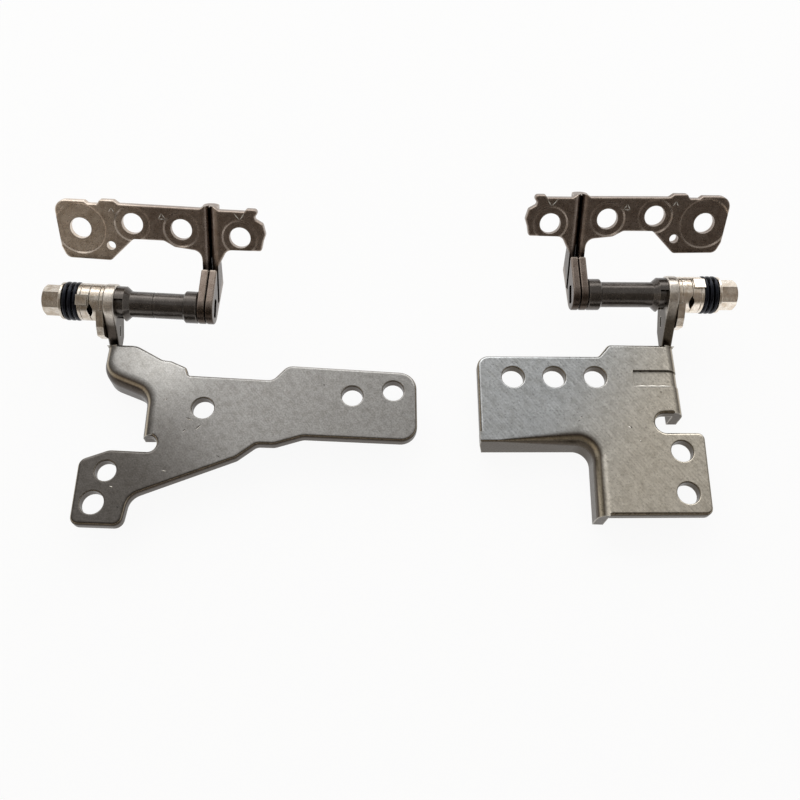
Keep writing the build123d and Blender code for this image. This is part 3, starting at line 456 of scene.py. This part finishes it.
@dataclass
class HingeFrame:
    """Where one hinge lies, read from its joint."""

    side: Side
    name: str = field(init=False)
    origin: Vector = field(init=False)
    along: Vector = field(init=False)
    back: Vector = field(init=False)
    tilt: float = field(init=False)

    def __post_init__(self) -> None:
        """Read the axis and the travel of the hinge's joint."""
        self.name = self.side.name.lower()
        joint = next(j for j in frame["joints"] if j["name"] == f"{self.name}_hinge")
        axis = Vector(joint["axis"]).normalized()
        self.origin = Vector(joint["pos_m"])
        self.along = axis * self.side.value
        self.back = Vector((0, 0, 1)).cross(axis)
        self.tilt = radians(180 - max(joint["range_deg"]))

    def plan(self, station: float, back: float, up: float) -> Vector:
        """Point given along the shaft, to the back and up from the shaft axis, in millimetres."""
        return self.origin + (self.along * station + self.back * back + Vector((0, 0, up))) * MM

    def lid(self, station: float, rise: float, out: float) -> Vector:
        """Find a point of the display plate.

        Args:
            station: Distance along the shaft, in millimetres.
            rise: Distance up the plate from the shaft axis.
            out: Distance out of the plate's face.

        Returns:
            The point in metres.
        """
        back = rise * cos(self.tilt) - out * sin(self.tilt)
        up = rise * sin(self.tilt) + out * cos(self.tilt)
        return self.plan(station, back, up)

    def lid_out(self) -> Vector:
        """Direction out of the display plate's face."""
        return Vector((0, 0, cos(self.tilt))) - self.back * sin(self.tilt)

    def dress(self, piece: str, finish: SteelFinish) -> None:
        """Give one CAD piece of this hinge its finish."""
        dress(frame["nodes"][f"{self.name}_{piece}"], finish.material())


def dress(piece: bpy.types.Object, material: bpy.types.Material) -> None:
    """Give a piece one material and report it.

    Args:
        piece: Object that takes the material.
        material: The material.
    """
    piece.data.materials.clear()
    piece.data.materials.append(material)
    LOG.info("%s: %s", piece.name, material.name)


@dataclass(frozen=True)
class Stroke:
    """A short low ridge that tapers to both ends, in millimetres on a plate's face."""

    start: tuple[float, float]
    end: tuple[float, float]
    width: float = 0.13
    height: float = 0.03


@dataclass
class MarkSet:
    """Strokes of one kind on one plate, made as one mesh."""

    name: str
    strokes: tuple[Stroke, ...]
    finish: SteelFinish
    slot: Slot
    body: str

    def build(self, point: Callable[[float, float], Vector], face_out: Vector) -> None:
        """Make the mesh, dress it and let it ride on its body.

        Args:
            point: Function that turns a place on the face into a point in metres.
            face_out: Direction out of the face.
        """
        mesh = bmesh.new()
        for stroke in self.strokes:
            start, end = point(*stroke.start), point(*stroke.end)
            middle = (start + end) / 2
            half = face_out.cross(end - start).normalized() * stroke.width * MM / 2
            rise = face_out * stroke.height * MM
            corners = [start, middle - half, end, middle + half]
            ring = [mesh.verts.new(corner) for corner in corners]
            top = mesh.verts.new(middle + rise)
            foot = mesh.verts.new(middle - rise)
            for index in range(4):
                after = ring[(index + 1) % 4]
                mesh.faces.new((ring[index], after, top))
                mesh.faces.new((after, ring[index], foot))
        bmesh.ops.recalc_face_normals(mesh, faces=mesh.faces)
        data = bpy.data.meshes.new(self.name)
        mesh.to_mesh(data)
        mesh.free()
        piece = bpy.data.objects.new(self.name, data)
        bpy.context.scene.collection.objects.link(piece)
        dress(piece, self.finish.material())
        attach(piece, self.body)


@dataclass
class BaseBracket:
    """Plate that screws to the keyboard half, with its flanges, its ear and the marks of handling."""

    hinge: HingeFrame
    finish: SteelFinish
    plate_top: float = -2.3
    burrs: tuple[Stroke, ...] = ()
    scratches: tuple[Stroke, ...] = ()

    def build(self) -> None:
        """Dress the bracket and add its marks."""
        self.hinge.dress("base_bracket", self.finish)
        kinds = {"burrs": (self.burrs, BARE_STEEL), "scratches": (self.scratches, SCRATCH_DIRT)}
        for kind, (strokes, finish) in kinds.items():
            marks = MarkSet(f"{self.hinge.name}_base_{kind}", strokes, finish, Slot.BASE, "bases")
            marks.build(self.on_plate, Vector((0, 0, 1)))

    def on_plate(self, station: float, back: float) -> Vector:
        """Point on the top of the plate."""
        return self.hinge.plan(station, back, self.plate_top)


@dataclass
class DisplayBracket:
    """Folded plate that screws to the screen, with its pressed marks."""

    hinge: HingeFrame
    finish: SteelFinish
    face: float = -3.0
    pressed: tuple[Stroke, ...] = ()

    def build(self) -> None:
        """Dress the bracket and add its marks."""
        self.hinge.dress("display_bracket", self.finish)
        name = self.hinge.name
        marks = MarkSet(f"{name}_pressed_marks", self.pressed, BARE_STEEL, Slot.DISPLAY, f"{name}_display")
        marks.build(self.on_face, self.hinge.lid_out())

    def on_face(self, station: float, rise: float) -> Vector:
        """Point on the face of the plate."""
        return self.hinge.lid(station, rise, self.face)


@dataclass
class FrictionStack:
    """Shaft, cams, washers, disc springs and nut that give the hinge its drag."""

    hinge: HingeFrame
    springs: int = 3

    def build(self) -> None:
        """Dress every piece along the shaft."""
        self.hinge.dress("shaft", BLACK_OXIDE)
        for piece in ("friction_washer", "fixed_cam", "moving_cam", "tab_washer", "flat_washer", "hex_nut"):
            self.hinge.dress(piece, BRIGHT_NICKEL)
        for number in range(1, self.springs + 1):
            self.hinge.dress(f"disc_spring_{number}", SPRING_BLACK)


@dataclass(frozen=True)
class Softbox:
    """A soft lamp that faces the object, in metres, and how bright its face is, where 1 is white."""

    name: str
    place: tuple[float, float, float]
    size: tuple[float, float]
    radiance: float


@dataclass(frozen=True)
class Card:
    """A card out of the picture, in metres, for the metal to mirror."""

    name: str
    place: tuple[float, float, float]
    size: tuple[float, float]
    colour: str


@dataclass
class Studio:
    """Pale floor, soft lamps, dark cards that the metal mirrors, and the camera."""

    floor_half: float = 20.0
    floor_glow: float = 0.93
    camera_mm: tuple[float, float, float] = (-3.38, -53.93, 113.31)
    camera_right: tuple[float, float, float] = (0.99943, -0.01305, 0.03095)
    camera_down: tuple[float, float, float] = (0.00064, -0.91391, -0.40593)
    focal_pixels: float = 900.0
    air_strength: float = 0.55
    sensor_mm: float = 36.0
    near_clip: float = 0.005
    floor_drop_mm: float = 0.02
    softboxes: tuple[Softbox, ...] = (
        Softbox("back_softbox", (0.0, 0.5, 0.28), (1.2, 0.45), 1.9),
        Softbox("top_softbox", (-0.2, 0.3, 0.5), (0.3, 0.3), 0.8),
    )
    cards: tuple[Card, ...] = (
        Card("front_card", (0.0, -0.17, 0.16), (0.7, 0.3), "#827c76"),
        Card("pale_card", (-0.21, -0.13, 0.12), (0.2, 0.28), "#c4bcb3"),
    )

    def build(self) -> None:
        """Make everything round the object."""
        self.air()
        self.floor()
        for softbox in self.softboxes:
            self.lamp(softbox)
        for card in self.cards:
            self.card(card)
        self.camera()

    def air(self) -> None:
        """Even pale surroundings."""
        made = bpy.data.worlds.new("studio_air")
        made.use_nodes = True
        made.node_tree.nodes.clear()
        air = add(made.node_tree, "ShaderNodeBackground",
                  {"Color": linear("#f4f3f1"), "Strength": self.air_strength})
        add(made.node_tree, "ShaderNodeOutputWorld", {"Surface": air.outputs["Background"]})
        bpy.context.scene.world = made
        bpy.context.scene.view_settings.view_transform = "Standard"

    def floor(self) -> None:
        """White paper floor that keeps a faint shadow."""
        made = bpy.data.materials.new("matt_white_paper")
        made.use_nodes = True
        tree = made.node_tree
        tree.nodes.clear()
        paper = add(tree, "ShaderNodeBsdfDiffuse", {"Color": linear("#f2f1ee")})
        glow = add(tree, "ShaderNodeEmission", {"Color": linear("#ffffff"), "Strength": 1.0})
        rays = add(tree, "ShaderNodeLightPath").outputs
        seen = add(tree, "ShaderNodeMath", {0: rays["Is Camera Ray"], 1: rays["Is Glossy Ray"]},
                   operation="MAXIMUM")
        seen = add(tree, "ShaderNodeMath", {0: seen.outputs["Value"], 1: rays["Is Transmission Ray"]},
                   operation="MAXIMUM")
        share = add(tree, "ShaderNodeMath", {0: seen.outputs["Value"], 1: self.floor_glow},
                    operation="MULTIPLY")
        mixed = add(tree, "ShaderNodeMixShader",
                    {0: share.outputs["Value"], 1: paper.outputs["BSDF"], 2: glow.outputs["Emission"]})
        add(tree, "ShaderNodeOutputMaterial", {"Surface": mixed.outputs["Shader"]})
        floor = self.sheet("floor", (2 * self.floor_half, 2 * self.floor_half), made)
        floor.location.z = -self.floor_drop_mm * MM

    def sheet(
        self, name: str, size: tuple[float, float], material: bpy.types.Material,
    ) -> bpy.types.Object:
        """Add a flat sheet that is part of the studio.

        Args:
            name: Name of the sheet.
            size: Width and height in metres.
            material: Its material.

        Returns:
            The sheet, lying at the origin.
        """
        wide, high = size[0] / 2, size[1] / 2
        mesh = bpy.data.meshes.new(name)
        corners = [(-wide, -high, 0), (wide, -high, 0), (wide, high, 0), (-wide, high, 0)]
        mesh.from_pydata(corners, [], [(0, 1, 2, 3)])
        made = bpy.data.objects.new(name, mesh)
        bpy.context.scene.collection.objects.link(made)
        dress(made, material)
        return made

    def aim(self, made: bpy.types.Object, place: tuple[float, float, float]) -> None:
        """Put a lamp or a card in place, facing the object."""
        made.location = place
        made.rotation_euler = (-Vector(place)).to_track_quat("-Z", "Y").to_euler()

    def lamp(self, softbox: Softbox) -> None:
        """Add a soft lamp.

        Args:
            softbox: Its name, place, size and brightness.
        """
        data = bpy.data.lights.new(softbox.name, "AREA")
        data.shape = "RECTANGLE"
        data.size, data.size_y = softbox.size
        data.energy = softbox.radiance * pi * softbox.size[0] * softbox.size[1]
        made = bpy.data.objects.new(softbox.name, data)
        bpy.context.scene.collection.objects.link(made)
        self.aim(made, softbox.place)

    def card(self, card: Card) -> None:
        """Add a card out of the picture, for the metal to mirror.

        Args:
            card: Its name, place, size and colour.
        """
        made = bpy.data.materials.new(f"{card.name}_felt")
        made.use_nodes = True
        made.node_tree.nodes["Principled BSDF"].inputs["Base Color"].default_value = linear(card.colour)
        made.node_tree.nodes["Principled BSDF"].inputs["Roughness"].default_value = 1.0
        piece = self.sheet(card.name, card.size, made)
        piece.visible_camera = False
        piece.visible_shadow = False
        self.aim(piece, card.place)

    def camera(self) -> None:
        """Stand the camera where the photograph was taken."""
        data = bpy.data.cameras.new("camera")
        data.sensor_width = self.sensor_mm
        data.lens = self.sensor_mm * self.focal_pixels / PHOTO_PIXELS
        data.clip_start = self.near_clip
        right = Vector(self.camera_right).normalized()
        up = -Vector(self.camera_down)
        up = (up - right * up.dot(right)).normalized()
        turn = Matrix((right, up, right.cross(up))).transposed().to_4x4()
        camera = bpy.data.objects.new("camera", data)
        camera.matrix_world = Matrix.Translation(Vector(self.camera_mm) * MM) @ turn
        bpy.context.scene.collection.objects.link(camera)
        bpy.context.scene.camera = camera


LEFT_BURRS = (
    Stroke((11.47, -15.25), (12.57, -15.54)), Stroke((12.99, -16.83), (13.7, -16.1)),
    Stroke((11.34, -17.19), (11.78, -16.9)), Stroke((9.42, -22.59), (10.05, -22.63)),
    Stroke((8.44, -12.85), (8.81, -12.55)), Stroke((3.2, -24.99), (3.71, -25.13)),
)
LEFT_SCRATCHES = (
    Stroke((11.42, -15.1), (12.2, -15.3)), Stroke((12.9, -16.7), (13.55, -16.0)),
    Stroke((11.25, -17.05), (11.7, -16.75)), Stroke((16.06, -20.11), (16.65, -20.42)),
    Stroke((4.55, -27.55), (4.85, -27.75), 0.25), Stroke((29.0, -9.35), (29.2, -9.5), 0.2),
)
RIGHT_BURRS = (
    Stroke((13.58, -17.58), (13.18, -17.34)), Stroke((7.3, -18.7), (6.95, -19.0), 0.25),
    Stroke((5.98, -20.7), (5.78, -20.88), 0.2),
    Stroke((6.0, -12.9), (3.4, -12.9), 0.34), Stroke((4.8, -12.9), (1.8, -12.9), 0.34),
    Stroke((3.2, -12.9), (0.6, -12.9), 0.34), Stroke((5.95, -13.0), (5.85, -10.3), 0.34),
)
RIGHT_SCRATCHES = (
    Stroke((13.92, -18.0), (13.6, -17.84)), Stroke((13.5, -17.45), (13.2, -17.25)),
    Stroke((2.4, -13.7), (2.1, -13.75), 0.2), Stroke((7.0, -18.7), (6.75, -18.95), 0.2),
)
PRESSED_MARKS = (
    Stroke((-0.5, 11.6), (-0.1, 12.3), 0.14), Stroke((-0.1, 12.3), (0.3, 11.6), 0.14),
    Stroke((6.05, 11.1), (6.5, 11.85), 0.14), Stroke((6.5, 11.85), (7.0, 11.1), 0.14),
    Stroke((6.05, 11.1), (7.0, 11.1), 0.14),
    Stroke((16.0, 12.55), (16.85, 11.5), 0.18), Stroke((16.85, 11.5), (17.55, 12.6), 0.18),
)


def main() -> None:
    """Build the studio and dress both hinges."""
    logging.basicConfig(level=logging.INFO, format="%(name)s %(message)s")
    Studio().build()
    left = HingeFrame(Side.LEFT)
    right = HingeFrame(Side.RIGHT)
    BaseBracket(left, LEFT_BASE_STEEL, burrs=LEFT_BURRS, scratches=LEFT_SCRATCHES).build()
    BaseBracket(right, RIGHT_BASE_STEEL, burrs=RIGHT_BURRS, scratches=RIGHT_SCRATCHES).build()
    displays = {Side.LEFT: LEFT_DISPLAY_STEEL, Side.RIGHT: RIGHT_DISPLAY_STEEL}
    for hinge in (left, right):
        DisplayBracket(hinge, displays[hinge.side], pressed=PRESSED_MARKS).build()
        FrictionStack(hinge).build()


if __name__ == "__main__":
    main()
